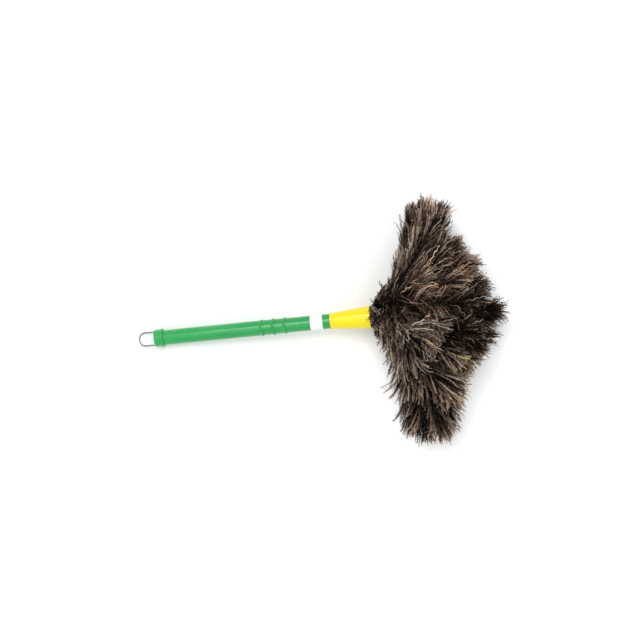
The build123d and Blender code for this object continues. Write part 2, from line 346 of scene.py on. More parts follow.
@dataclass(frozen=True)
class PlumeFinish:
    """Ostrich barbs. The mesh's "tint" colour says how light, warm and olive each stretch of barb is."""

    name: str = "plume_barbs"
    tones: tuple[Colour, ...] = ((5, 4, 3), (28, 22, 18), (88, 73, 63), (150, 136, 126), (206, 190, 172))
    rust: tuple[float, float, float, float] = (1.15, 0.82, 0.58, 1.0)
    olive: tuple[float, float, float, float] = (1.0, 0.95, 0.50, 1.0)
    mottle: Grain = Grain(240.0, 4.0)
    mottle_limits: Pair = (0.3, 0.7)
    mottle_shift: Pair = (-0.10, 0.10)
    roughness: float = 0.7
    specular: float = 0.02

    def material(self) -> Material:
        """Builds the material."""
        sheet = NodeSheet(self.name)
        parts = sheet.tints()
        shift = sheet.span(sheet.noise(self.mottle), self.mottle_limits, self.mottle_shift)
        tone = sheet.add("Math", operation="ADD", use_clamp=True)
        sheet.join(parts, "Red", tone, 0)
        sheet.join(shift, "Result", tone, 1)
        last = len(self.tones) - 1
        stops = [(place / last, linear(colour)) for place, colour in enumerate(self.tones)]
        colour, output = sheet.ramp(tone, "Value", stops), "Color"
        for channel, tinge in (("Green", self.rust), ("Blue", self.olive)):
            mix = sheet.multiply(colour, output)
            sheet.join(parts, channel, mix, MIX_FACTOR)
            mix.inputs[MIX_ABOVE].default_value = tinge
            colour, output = mix, "Result"
        sheet.join(colour, output, sheet.shader, "Base Color")
        sheet.shader.inputs["Roughness"].default_value = self.roughness
        sheet.shader.inputs["Specular IOR Level"].default_value = self.specular
        return sheet.material


@dataclass(frozen=True)
class ShaftFinish:
    """Quill and shaft: horny, pale at the root and brown towards the tip, with lengthwise streaks."""

    name: str = "plume_shaft"
    pale: Colour = (206, 188, 158)
    brown: Colour = (66, 52, 43)
    browning: Pair = (0.1, 0.75)
    streaks: Grain = Grain(900.0, 3.0, (0.1, 1.0, 1.0))
    streak_limits: Pair = (0.3, 0.7)
    streak_shades: Pair = (0.75, 1.05)
    roughness: float = 0.42

    def material(self) -> Material:
        """Builds the material."""
        sheet = NodeSheet(self.name)
        parts = sheet.tints()
        stops = [(self.browning[0], linear(self.pale)), (self.browning[1], linear(self.brown))]
        colour = sheet.ramp(parts, "Red", stops)
        shades = sheet.span(sheet.noise(self.streaks), self.streak_limits, self.streak_shades)
        streaked = sheet.multiply(colour, "Color")
        streaked.inputs[MIX_FACTOR].default_value = 1.0
        sheet.join(shades, "Result", streaked, MIX_ABOVE)
        sheet.join(streaked, "Result", sheet.shader, "Base Color")
        sheet.shader.inputs["Roughness"].default_value = self.roughness
        return sheet.material


@dataclass(frozen=True)
class FloorFinish:
    """Pale, even floor."""

    name: str = "pale_floor"
    colour: Colour = (250, 250, 250)
    roughness: float = 0.9

    def material(self) -> Material:
        """Builds the material."""
        sheet = NodeSheet(self.name)
        sheet.shader.inputs["Base Color"].default_value = linear(self.colour)
        sheet.shader.inputs["Roughness"].default_value = self.roughness
        return sheet.material


class MeshMaker:
    """Collects points, faces and tints, and turns them into one mesh object."""

    def __init__(self) -> None:
        """Starts with nothing."""
        self.points: list[Array] = []
        self.tints: list[Array] = []
        self.faces: list[tuple[Array, int]] = []
        self.count = 0

    def add(self, points: Array, tints: Array, faces: list[Array], finish: int) -> None:
        """Adds a group of points with its faces.

        Args:
            points: N by 3 places in metres.
            tints: N by 3 tint channels.
            faces: index arrays, each F by 3 or F by 4, counted from the group's first point.
            finish: the material's index.
        """
        for group in faces:
            self.faces.append((group + self.count, finish))
        self.points.append(points)
        self.tints.append(tints)
        self.count += len(points)

    def build(self, name: str, finishes: list[Material]) -> bpy.types.Object:
        """Makes the object, with smooth shading.

        Args:
            name: the piece's name.
            finishes: materials in the order of their indices.

        Returns:
            The new object, linked to the scene.
        """
        points = np.concatenate(self.points)
        mesh = bpy.data.meshes.new(name)
        corners = np.concatenate([group.ravel() for group, _ in self.faces])
        sizes = np.concatenate([np.full(len(group), group.shape[1]) for group, _ in self.faces])
        indices = np.concatenate([np.full(len(group), finish) for group, finish in self.faces])
        mesh.vertices.add(len(points))
        mesh.vertices.foreach_set("co", points.astype(np.float32).ravel())
        mesh.loops.add(len(corners))
        mesh.loops.foreach_set("vertex_index", corners.astype(np.int32))
        mesh.polygons.add(len(sizes))
        starts = np.concatenate([[0], np.cumsum(sizes)[:-1]])
        mesh.polygons.foreach_set("loop_start", starts.astype(np.int32))
        mesh.polygons.foreach_set("material_index", indices.astype(np.int32))
        mesh.polygons.foreach_set("use_smooth", np.ones(len(sizes), dtype=bool))
        mesh.update(calc_edges=True)
        tint = mesh.attributes.new("tint", "FLOAT_COLOR", "POINT")
        colours = np.ones((len(points), 4), dtype=np.float32)
        colours[:, :3] = np.concatenate(self.tints)
        tint.data.foreach_set("color", colours.ravel())
        for finish in finishes:
            mesh.materials.append(finish)
        piece = bpy.data.objects.new(name, mesh)
        bpy.context.collection.objects.link(piece)
        return piece


def unit(vectors: Array) -> Array:
    """Vectors scaled to length 1, along the last axis."""
    return vectors / np.maximum(np.linalg.norm(vectors, axis=-1, keepdims=True), 1e-9)


def turned(vectors: Array, axes: Array, angles: Array) -> Array:
    """Vectors turned about axes by the right-hand rule.

    Args:
        vectors: N by 3.
        axes: N by 3, of length 1.
        angles: N angles in radians.

    Returns:
        The turned vectors.
    """
    cos = np.cos(angles)[:, None]
    sin = np.sin(angles)[:, None]
    along = np.sum(axes * vectors, axis=1, keepdims=True)
    return vectors * cos + np.cross(axes, vectors) * sin + axes * along * (1 - cos)


@dataclass
class ShaftLine:
    """The line that a plume follows, taken from its plain solid in the frame.

    "root_depth" is the slab at the solid's rear end whose middle is the root, and "cut_reach" is how far from
    a cut the solid's edges are looked for. "sway_rate" is in radians per metre of the tip's sideways place.
    """

    node: str
    slices: int = 26
    samples: int = 80
    fewest_points: int = 5
    root_depth: float = 0.3 * MM
    cut_reach: float = 45 * MM
    sway_height: float = 9 * MM
    sway_rate: float = 97.0
    floor_gap: float = 6 * MM
    top_gap: float = 24 * MM
    points: Array = field(init=False)
    tangents: Array = field(init=False)
    sides: Array = field(init=False)
    normals: Array = field(init=False)
    length: float = field(init=False)

    def __post_init__(self) -> None:
        """Reads the solid and finds its middle line."""
        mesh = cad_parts[self.node].data
        cloud = np.empty(len(mesh.vertices) * 3, dtype=np.float32)
        mesh.vertices.foreach_get("co", cloud)
        cloud = cloud.reshape(-1, 3).astype(float)
        edges = np.empty(len(mesh.edges) * 2, dtype=np.int32)
        mesh.edges.foreach_get("vertices", edges)
        rough = self.even(self.rough(cloud))
        self.points = self.even(self.centred(rough, cloud, edges.reshape(-1, 2)))
        self.sway()
        self.tangents = unit(np.gradient(self.points, axis=0))
        self.sides = unit(np.cross(self.tangents, -UP))
        self.normals = unit(np.cross(self.tangents, self.sides))
        self.length = float(np.linalg.norm(np.diff(self.points, axis=0), axis=1).sum())

    def sway(self) -> None:
        """Lets the outer part of the line rise or sink, so that plumes of one row don't lie level."""
        top = CAD_BOX[1][2] - self.top_gap
        share = np.linspace(0.0, 1.0, len(self.points))
        swing = self.sway_height * math.sin(self.points[-1, 1] * self.sway_rate)
        level = self.points[:, 2]
        heights = level + swing * share**2
        self.points[:, 2] = np.clip(heights, np.minimum(level, self.floor_gap), np.maximum(level, top))

    def rough(self, cloud: Array) -> Array:
        """A first line, from slices by the distance to the quill's cut end.

        Args:
            cloud: the solid's points.

        Returns:
            The line's points.
        """
        root = cloud[cloud[:, 0] < cloud[:, 0].min() + self.root_depth].mean(axis=0)
        reach = np.linalg.norm(cloud - root, axis=1)
        limits = np.linspace(0.0, reach.max(), self.slices + 1)
        middles = [root]
        for low, high in zip(limits, limits[1:]):
            inside = cloud[(reach >= low) & (reach < high)]
            if len(inside) > self.fewest_points:
                middles.append((inside.min(axis=0) + inside.max(axis=0)) / 2)
        return self.smoothed(self.smoothed(np.array(middles)))

    @staticmethod
    def smoothed(line: Array) -> Array:
        """A line whose points, apart from its two ends, are drawn halfway to their neighbours' middle."""
        eased = line.copy()
        eased[1:-1] = (line[:-2] + 2 * line[1:-1] + line[2:]) / 4
        return eased

    def centred(self, rough: Array, cloud: Array, edges: Array) -> Array:
        """The middles of cuts square to a rough line.

        Args:
            rough: the rough line.
            cloud: the solid's points.
            edges: the solid's edges, as pairs of point numbers.

        Returns:
            The refined line.
        """
        tangents = unit(np.gradient(rough, axis=0))
        starts = cloud[edges[:, 0]]
        ends = cloud[edges[:, 1]]
        refined = rough.copy()
        for place, (point, tangent) in enumerate(zip(rough, tangents)):
            before = (starts - point) @ tangent
            after = (ends - point) @ tangent
            crossed = (before * after < 0) & (np.abs(starts - point).max(axis=1) < self.cut_reach)
            if crossed.sum() > self.fewest_points:
                share = (before[crossed] / (before[crossed] - after[crossed]))[:, None]
                cut = starts[crossed] + (ends[crossed] - starts[crossed]) * share
                refined[place] = (cut.min(axis=0) + cut.max(axis=0)) / 2
        return self.smoothed(refined)

    def even(self, line: Array) -> Array:
        """Points spaced evenly along a line.

        Args:
            line: the line's points.

        Returns:
            The evenly spaced points.
        """
        travelled = np.concatenate([[0.0], np.cumsum(np.linalg.norm(np.diff(line, axis=0), axis=1))])
        wanted = np.linspace(0.0, travelled[-1], self.samples)
        return np.stack([np.interp(wanted, travelled, line[:, axis]) for axis in range(3)], axis=1)

    def at(self, shares: Array, of: Array) -> Array:
        """Values of one of the line's arrays at shares of its length."""
        place = np.linspace(0.0, 1.0, len(of))
        return np.stack([np.interp(shares, place, of[:, axis]) for axis in range(3)], axis=1)


class PlumeKind(Enum):
    """Characters of plume, by where they lie in the head."""

    SLEEK = "sleek"
    CRESTED = "crested"
    DARK = "dark"
    OLIVE = "olive"
    BROAD = "broad"
    TOPKNOT = "topknot"
    GREY = "grey"


@dataclass(frozen=True)
class Vane:
    """How the barbs of one kind of plume grow, and how they are coloured.

    "opening" is the barbs' angle from the shaft in degrees near the collar, midway and at the tip, "shading"
    is what is added to their lightness there, and "warmth" is how rusty they are there. Where "shading"
    darkens the stretch near the collar it is painted shade, for the outer plumes that cover it; elsewhere it
    is the plume's own tone. "rear_trim" is the share by which barbs on the handle's side are shorter and
    closer.
    "curl" and "swirl" are turns in radians per metre of barb, towards a random side and about the upright.
    """

    barb_length: float
    opening: Triple
    curl: float
    wave: float
    lightness: float
    shading: Triple
    contrast: float
    tip_light: float
    rear_trim: float = 0.38
    swirl: float = 0.0
    warmth: Triple = (0.0, 0.0, 0.0)
    olive: float = 0.0


VANES = {
    PlumeKind.SLEEK: Vane(
        barb_length=66 * MM, opening=(25, 12, 8), rear_trim=0.40, curl=8, swirl=4, wave=0.4 * MM,
        lightness=0.48, shading=(0.0, 0.0, -0.02), contrast=0.21, warmth=(0.0, 0.12, 0.24), tip_light=0.12,
    ),
    PlumeKind.CRESTED: Vane(
        barb_length=68 * MM, opening=(42, 32, 20), curl=20, swirl=-14, wave=0.6 * MM, lightness=0.40,
        shading=(-0.30, -0.18, 0.02), contrast=0.20, warmth=(0.2, 0.34, 0.42), olive=0.02, tip_light=0.32,
    ),
    PlumeKind.DARK: Vane(
        barb_length=62 * MM, opening=(44, 34, 22), curl=24, swirl=-4, wave=0.7 * MM, lightness=0.13,
        shading=(-0.05, -0.08, 0.0), contrast=0.17, warmth=(0.03, 0.03, 0.05), olive=0.05, tip_light=0.44,
    ),
    PlumeKind.OLIVE: Vane(
        barb_length=62 * MM, opening=(44, 38, 24), curl=20, swirl=-2, wave=0.6 * MM, lightness=0.37,
        shading=(-0.18, -0.12, 0.04), contrast=0.20, warmth=(0.08, 0.12, 0.15), olive=0.2, tip_light=0.46,
    ),
    PlumeKind.BROAD: Vane(
        barb_length=64 * MM, opening=(46, 36, 24), rear_trim=0.10, curl=10, wave=0.4 * MM, lightness=0.45,
        shading=(0.02, 0.0, -0.16), contrast=0.20, warmth=(0.0, 0.06, 0.42), tip_light=0.40,
    ),
    PlumeKind.TOPKNOT: Vane(
        barb_length=52 * MM, opening=(50, 60, 60), curl=12, swirl=-22, wave=0.5 * MM, lightness=0.30,
        shading=(-0.2, 0.0, 0.10), contrast=0.17, warmth=(0.2, 0.36, 0.40), olive=0.04, tip_light=0.24,
    ),
    PlumeKind.GREY: Vane(
        barb_length=58 * MM, opening=(46, 30, 18), curl=16, swirl=-4, wave=0.8 * MM, lightness=0.42,
        shading=(-0.10, 0.02, 0.0), contrast=0.23, tip_light=0.18,
    ),
}


@dataclass(frozen=True)
class Growth:
    """How barbs stand on any shaft and how much their growth varies.

    Tilts are a mean and a spread in degrees, up from the vane's plane. "drift" holds the spreads of random
    bends of a swath, a tuft and a single barb. "sweep" and "droop" are bends forward and down. All bends are
    in radians per metre. "early" values are added to the grown share of the barb, by which bends increase.
    """

    spacing_jitter: float = 0.3
    length_spread: Pair = (0.7, 1.15)
    swell_at: tuple[float, ...] = (0.0, 0.2, 0.5, 0.85, 1.0)
    swell: tuple[float, ...] = (0.5, 0.85, 1.0, 0.85, 0.55)
    ruff_shorter: float = 0.35
    ruff_opening: float = 18.0
    opening_spread: float = 8.0
    hanging_share: float = 0.36
    hanging_tilt: Pair = (-62.0, 18.0)
    level_tilt: Pair = (4.0, 26.0)
    tilt_spread: float = 12.0
    drift: Triple = (6.0, 3.0, 3.0)
    hook_spread: Pair = (0.6, 0.5)
    curl_range: Pair = (0.3, 1.4)
    ruff_curl: float = 2.2
    sweep: float = 6.0
    droop: float = 30.0
    early_drift: float = 0.4
    early_curl: float = 0.3
    early_swirl: float = 0.4
    floor_gap: float = 0.5 * MM
    floor_range: float = 2.5 * MM
    sink_share: float = 0.5


@dataclass(frozen=True)
class Settling:
    """How barbs gather in tufts, ripple, and are pressed down at the top of the head.

    "full_at" values are the share of a barb's length from which an effect has its full strength.
    """

    clumping: float = 0.3
    clumping_full_at: float = 0.7
    clumping_power: float = 1.5
    ripples: Pair = (2.0, 4.5)
    ripple_full_at: float = 0.25
    ripple_range: Pair = (0.3, 1.5)
    ruff_ripple: float = 1.5
    floor_gap: float = 0.4 * MM
    press_depth: float = 22 * MM
    press_room: float = 28 * MM


@dataclass(frozen=True)
class Fringe:
    """A barb's narrow ribbon and the barbules along its edges. "lean" and "rise" are a mean and a spread."""

    width: float = 0.3 * MM
    taper: float = 0.75
    facing_spread: float = 0.5
    reach: float = 2.1 * MM
    reach_at: tuple[float, ...] = (0.0, 0.15, 0.6, 1.0)
    reach_share: tuple[float, ...] = (0.4, 0.9, 1.0, 0.5)
    reach_range: Pair = (0.5, 1.3)
    lean: Pair = (1.1, 0.3)
    rise: Pair = (0.0, 0.4)
    floor_gap: float = 0.2 * MM


@dataclass(frozen=True)
class Tinting:
    """How lightness and warmth run along any barb.

    "ends_from" and "root_to" are where on a barb its end begins and where the darkening of its root stops,
    which is partly painted shade, where roots lie deep in the head, and partly the barb's darker base.
    "tip_gain" and "end_gain" are a value at the start and what is added by the finish, along the shaft and
    along the barb.
    """

    tuft_share: float = 0.55
    ruff_contrast: float = 0.4
    ends_from: float = 0.5
    ends_power: float = 1.3
    root_to: float = 0.5
    fringe_shade: float = 0.06
    # Lightness taken off at barbs' roots: partly painted shade deep in the head, partly the barbs' darker
    # base.
    root_tone_and_painted_shade: float = 0.32
    ruff_unshaded: float = 0.6
    ruff_light: float = 0.04
    tip_gain: Pair = (0.4, 0.6)
    end_gain: Pair = (0.7, 0.6)
    ruff_cooler: float = 0.7
    tuft_olive: float = 0.5


@dataclass
class Plume:
    """One ostrich plume: a tapered shaft with a cut quill, and two vanes of long, limp, fringed barbs.

    "shaft_share" is how much of the solid's line the shaft takes. "bare" is the stretch without barbs past
    the collar, and "ruff" the stretch of short, curly barbs after it. "clump" and "swath" are how many
    barbs form a tuft and a larger group.
    """

    node: str
    seed: int
    line: ShaftLine
    vane: Vane
    shaft_share: float
    growth: Growth = Growth()
    settling: Settling = Settling()
    fringe: Fringe = Fringe()
    tinting: Tinting = Tinting()
    quill_radius: float = 1.2 * MM
    end_radius: float = 0.25 * MM
    shaft_taper: float = 0.6
    shaft_rings: int = 60
    shaft_sides: int = 6
    barbs: int = 205
    barb_steps: int = 20
    clump: int = 5
    swath: int = 24
    bare: float = 3 * MM
    ruff: float = 55 * MM
    rng: np.random.Generator = field(init=False)
    first_barb: float = field(init=False)

    def __post_init__(self) -> None:
        """Seeds the plume's own randomness and finds where its barbs begin, just past the collar."""
        self.rng = np.random.default_rng(self.seed)
        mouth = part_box("collar")[1][0] + self.bare
        outside = int(np.argmax(self.line.points[:, 0] > mouth))
        self.first_barb = outside / (len(self.line.points) - 1)

    def build(self, finishes: list[Material]) -> bpy.types.Object:
        """Builds the plume and puts it in place of its plain solid.

        Args:
            finishes: the shaft's material, then the barbs'.

        Returns:
            The plume.
        """
        maker = MeshMaker()
        self.add_shaft(maker)
        for side in (-1.0, 1.0):
            shares, lengths = self.stations()
            paths = self.grown(shares, lengths * self.trimmed(shares, side), side)
            self.add_fringed(maker, paths, shares)
        piece = maker.build(self.node.replace("feather", "plume"), finishes)
        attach(piece, PLUME_BODY)
        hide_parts(self.node)
        return piece

    def add_shaft(self, maker: MeshMaker) -> None:
        """Adds the quill and shaft as one closed tapered tube.

        Args:
            maker: the mesh that is being collected.
        """
        shares = np.linspace(0.0, self.shaft_share, self.shaft_rings)
        centres = self.line.at(shares, self.line.points)
        sides = self.line.at(shares, self.line.sides)
        normals = self.line.at(shares, self.line.normals)
        taper = np.clip(self.toward_tip(shares), 0, 1)
        radii = self.quill_radius + (self.end_radius - self.quill_radius) * taper**self.shaft_taper
        turn = np.linspace(0, 2 * math.pi, self.shaft_sides, endpoint=False)
        circle = sides[:, None] * np.cos(turn)[None, :, None] + normals[:, None] * np.sin(turn)[None, :, None]
        points = (centres[:, None] + circle * radii[:, None, None]).reshape(-1, 3)
        browned = np.clip(shares / self.first_barb, 0, 1) ** 2
        tints = np.repeat(np.stack([browned, taper * 0, taper * 0], axis=1), self.shaft_sides, axis=0)
        ring = np.arange(self.shaft_sides)
        following = (ring + 1) % self.shaft_sides
        starts = (np.arange(self.shaft_rings - 1) * self.shaft_sides)[:, None]
        ahead = starts + self.shaft_sides
        quads = np.stack([starts + ring, starts + following, ahead + following, ahead + ring], axis=2)
        last = (self.shaft_rings - 1) * self.shaft_sides
        fan = np.stack([ring * 0, following, ring], axis=1)[1:-1]
        ends = np.concatenate([fan, fan[:, ::-1] + last])
        maker.add(points, tints, [quads.reshape(-1, 4), ends], SHAFT_FINISH)

    def toward_tip(self, shares: Array) -> Array:
        """How far along the barbed stretch places are, 0 at the collar and 1 at the shaft's end."""
        return (shares - self.first_barb) / (self.shaft_share - self.first_barb)

    def ruffled(self, shares: Array) -> Array:
        """How much places on the line belong to the short curly ruff at the collar, 1 at the collar."""
        return np.clip(1 - (shares - self.first_barb) * self.line.length / self.ruff, 0, 1)

    def trimmed(self, shares: Array, side: float) -> Array:
        """What is left of barbs' length and opening on the handle's side, where the tip is trimmed least."""
        rearward = np.clip(-side * self.line.at(shares, self.line.sides)[:, 0], 0, 1)
        return 1 - self.vane.rear_trim * rearward * (1 - np.clip(self.toward_tip(shares), 0, 1) ** 2)

    def stations(self) -> tuple[Array, Array]:
        """Where the barbs of one vane stand and how long they are.

        Returns:
            Shares of the line's length, and lengths in metres.
        """
        growth = self.growth
        jitter = self.rng.uniform(-growth.spacing_jitter, growth.spacing_jitter, self.barbs)
        spread = np.clip((np.arange(self.barbs) + jitter) / self.barbs, 0, 1)
        shares = self.first_barb + (self.shaft_share - self.first_barb) * spread
        swell = np.interp(spread, growth.swell_at, growth.swell)
        swell = swell * (1 - growth.ruff_shorter * self.ruffled(shares))
        return shares, self.vane.barb_length * swell * self.rng.uniform(*growth.length_spread, self.barbs)

    def grown(self, shares: Array, lengths: Array, side: float) -> Array:
        """Grows the barbs of one vane from the shaft.

        Args:
            shares: where they stand.
            lengths: how long they are.
            side: -1 or 1.

        Returns:
            Barbs by steps by 3.
        """
        growth = self.growth
        count = len(shares)
        groups = np.arange(count) // self.clump
        tufts = groups.max() + 1
        ruff = self.ruffled(shares)
        ahead = unit(self.line.at(shares, self.line.tangents))
        heading = self.headings(shares, side, ahead, groups)
        swaths = np.arange(count) // self.swath
        drift = self.rng.normal(0, growth.drift[0], (swaths.max() + 1, 3))[swaths]
        drift = drift + self.rng.normal(0, growth.drift[1], (tufts, 3))[groups]
        drift = drift + self.rng.normal(0, growth.drift[2], (count, 3))
        hook = np.cross(heading, -UP) + self.rng.normal(0, growth.hook_spread[0], (tufts, 3))[groups]
        curl_axis = unit(hook + self.rng.normal(0, growth.hook_spread[1], (count, 3)))
        curl = self.vane.curl * self.rng.uniform(*growth.curl_range, count) * (1 + growth.ruff_curl * ruff)
        swirl_axis = np.tile(UP, (count, 1))
        step_length = lengths / self.barb_steps
        lowest = growth.floor_gap + self.rng.uniform(0, growth.floor_range, count)
        path = [self.line.at(shares, self.line.points)]
        for step in range(self.barb_steps):
            share = (step + 0.5) / self.barb_steps
            bend = ahead * growth.sweep - UP * growth.droop * share + drift * (growth.early_drift + share)
            heading = unit(heading + bend * step_length[:, None])
            heading = turned(heading, curl_axis, curl * (growth.early_curl + share) * step_length)
            swirl = self.vane.swirl * (growth.early_swirl + share)
            heading = turned(heading, swirl_axis, swirl * step_length)
            place = path[-1] + heading * step_length[:, None]
            sunk = place[:, 2] < lowest
            place[sunk, 2] = np.maximum(lowest[sunk], path[-1][sunk, 2] * growth.sink_share)
            heading[sunk, 2] = np.maximum(heading[sunk, 2], 0.0)
            path.append(place)
        return self.settled(np.stack(path, axis=1), groups, ruff)

    def headings(self, shares: Array, side: float, ahead: Array, groups: Array) -> Array:
        """The directions in which barbs leave the shaft.

        Args:
            shares: where they stand.
            side: -1 or 1.
            ahead: the shaft's direction there.
            groups: each barb's tuft.

        Returns:
            Directions of length 1.
        """
        growth = self.growth
        count = len(shares)
        tufts = groups.max() + 1
        across = unit(self.line.at(shares, self.line.sides)) * side
        above = unit(self.line.at(shares, self.line.normals))
        toward_tip = self.toward_tip(shares)
        opening = np.interp(toward_tip, VANE_STATIONS, self.vane.opening)
        opening = (opening + growth.ruff_opening * self.ruffled(shares)) * self.trimmed(shares, side)
        scatter = self.rng.normal(0, growth.opening_spread, count)
        opening = np.radians(opening + scatter * (1 + np.clip(toward_tip, 0, 1)))
        hangs = self.rng.random(tufts) < growth.hanging_share
        hanging = self.rng.normal(*growth.hanging_tilt, tufts)
        level = self.rng.normal(*growth.level_tilt, tufts)
        tilt = np.where(hangs, hanging, level)
        tilt = np.radians(tilt[groups] + self.rng.normal(0, growth.tilt_spread, count))
        outward = across * np.cos(tilt)[:, None] + above * np.sin(tilt)[:, None]
        return unit(ahead * np.cos(opening)[:, None] + outward * np.sin(opening)[:, None])

    def settled(self, paths: Array, groups: Array, ruff: Array) -> Array:
        """Draws neighbouring barbs into loose tufts, ripples them, and presses the highest ones down.

        Args:
            paths: barbs by steps by 3.
            groups: each barb's tuft.
            ruff: how much each barb belongs to the ruff at the collar.

        Returns:
            The settled paths.
        """
        settling = self.settling
        count, stops, _ = paths.shape
        sums = np.zeros((groups.max() + 1,) + paths.shape[1:])
        np.add.at(sums, groups, paths)
        means = sums / np.bincount(groups)[:, None, None]
        share = np.linspace(0, 1, stops)
        pull = np.clip(share / settling.clumping_full_at, 0, 1) ** settling.clumping_power
        paths = paths + (means[groups] - paths) * (settling.clumping * pull)[None, :, None]
        turns = self.rng.uniform(*settling.ripples, (count, 1)) * share[None, :] * 2 * math.pi
        ripple = np.sin(turns + self.rng.uniform(0, 2 * math.pi, (count, 1)))
        ripple = ripple * np.clip(share / settling.ripple_full_at, 0, 1)
        size = self.vane.wave * self.rng.uniform(*settling.ripple_range, (count, 1))
        size = size * (1 + settling.ruff_ripple * ruff[:, None])
        lifted = unit(np.cross(unit(np.gradient(paths, axis=1)), UP + 0 * paths))
        paths = paths + lifted * (ripple * size)[..., None]
        paths[..., 2] = np.maximum(paths[..., 2], settling.floor_gap)
        return self.pressed(paths)

    def pressed(self, paths: Array) -> Array:
        """Eases heights above a knee towards the top of the head's plain solids."""
        knee = CAD_BOX[1][2] - self.settling.press_depth
        room = self.settling.press_room
        over = np.maximum(paths[..., 2] - knee, 0)
        paths[..., 2] = np.minimum(paths[..., 2], knee) + room * (1 - np.exp(-over / room))
        return paths

    def add_fringed(self, maker: MeshMaker, paths: Array, shares: Array) -> None:
        """Adds barbs as narrow ribbons with a fringe of barbules along both edges.

        Args:
            maker: the mesh that is being collected.
            paths: barbs by steps by 3.
            shares: where the barbs stand on the shaft.
        """
        fringe = self.fringe
        count, stops, _ = paths.shape
        run = unit(np.gradient(paths, axis=1))
        facing = unit(UP + self.rng.normal(0, fringe.facing_spread, (count, 3)))[:, None]
        across = unit(np.cross(run, facing))
        off = np.cross(across, run)
        share = np.linspace(0, 1, stops)
        width = fringe.width * (1 - fringe.taper * share)[None, :, None]
        left = paths - across * width
        right = paths + across * width
        mid_share = (share[:-1] + share[1:]) / 2
        reach = fringe.reach * np.interp(mid_share, fringe.reach_at, fringe.reach_share)
        ends = []
        for sign, edge in ((-1.0, left), (1.0, right)):
            middle = (edge[:, :-1] + edge[:, 1:]) / 2
            size = reach[None, :, None] * self.rng.uniform(*fringe.reach_range, (count, stops - 1, 1))
            lean = self.rng.normal(*fringe.lean, (count, stops - 1, 1))
            rise = self.rng.normal(*fringe.rise, (count, stops - 1, 1))
            way = unit(across[:, :-1] * sign + run[:, :-1] * lean + off[:, :-1] * rise)
            end = middle + way * size
            end[..., 2] = np.maximum(end[..., 2], fringe.floor_gap)
            ends.append(end)
        points = np.concatenate([left, right, *ends], axis=1)
        step = np.arange(stops - 1)
        ribbon = np.stack([step, step + stops, step + stops + 1, step + 1], axis=1)
        near = np.stack([step, step + 1, step + 2 * stops], axis=1)
        far = np.stack([step + stops + 1, step + stops, step + 3 * stops - 1], axis=1)
        starts = (np.arange(count) * points.shape[1])[:, None, None]
        faces = [
            (starts + ribbon[None]).reshape(-1, 4),
            (starts + near[None]).reshape(-1, 3),
            (starts + far[None]).reshape(-1, 3),
        ]
        tints = self.tinted(count, share, mid_share, shares)
        maker.add(points.reshape(-1, 3), tints, faces, BARB_FINISH)

    def tinted(self, count: int, share: Array, mid_share: Array, shares: Array) -> Array:
        """Tint channels for every point of a vane.

        Args:
            count: barbs.
            share: how far along its barb each ribbon point is.
            mid_share: the same for the fringe's points.
            shares: where the barbs stand on the shaft.

        Returns:
            Tints in the order of the points.
        """
        vane = self.vane
        tinting = self.tinting
        along = np.concatenate([share, share, mid_share, mid_share])[None, :]
        fringe = np.concatenate([share * 0, share * 0, mid_share * 0 + 1, mid_share * 0 + 1])[None, :]
        groups = np.arange(count) // self.clump
        tuft = self.rng.normal(0, tinting.tuft_share * vane.contrast, groups.max() + 1)[groups][:, None]
        single = self.rng.normal(0, vane.contrast, count)[:, None]
        toward_tip = np.clip(self.toward_tip(shares), 0, 1)[:, None]
        ruff = self.ruffled(shares)[:, None]
        ends = np.clip((along - tinting.ends_from) / (1 - tinting.ends_from), 0, 1) ** tinting.ends_power
        root = np.clip(1 - along / tinting.root_to, 0, 1)
        # The vane's shading adds painted shade near the collar, where outer plumes cover it, and the plume's
        # own tone towards the tip.
        lightness = vane.lightness + np.interp(toward_tip, VANE_STATIONS, vane.shading) + tuft
        lightness = lightness + single * (1 + tinting.ruff_contrast * ruff)
        lightness = lightness - tinting.fringe_shade * fringe + tinting.ruff_light * ruff
        # Darkens each barb towards its root: partly painted shade where roots lie under the barbs above,
        # partly the barbs' own darker base.
        lightness = lightness - tinting.root_tone_and_painted_shade * root * (1 - tinting.ruff_unshaded * ruff)
        tip_gain = tinting.tip_gain[0] + tinting.tip_gain[1] * toward_tip
        lightness = lightness + vane.tip_light * ends * tip_gain
        end_gain = tinting.end_gain[0] + tinting.end_gain[1] * ends
        warmth = (np.interp(toward_tip, VANE_STATIONS, vane.warmth) + tuft) * end_gain
        tints = np.zeros((count, along.shape[1], 3))
        tints[..., 0] = np.clip(lightness, 0, 1)
        tints[..., 1] = np.clip(warmth * (1 - tinting.ruff_cooler * ruff), 0, 1)
        tints[..., 2] = np.clip(vane.olive + tuft * tinting.tuft_olive, 0, 1)
        return tints.reshape(-1, 3)


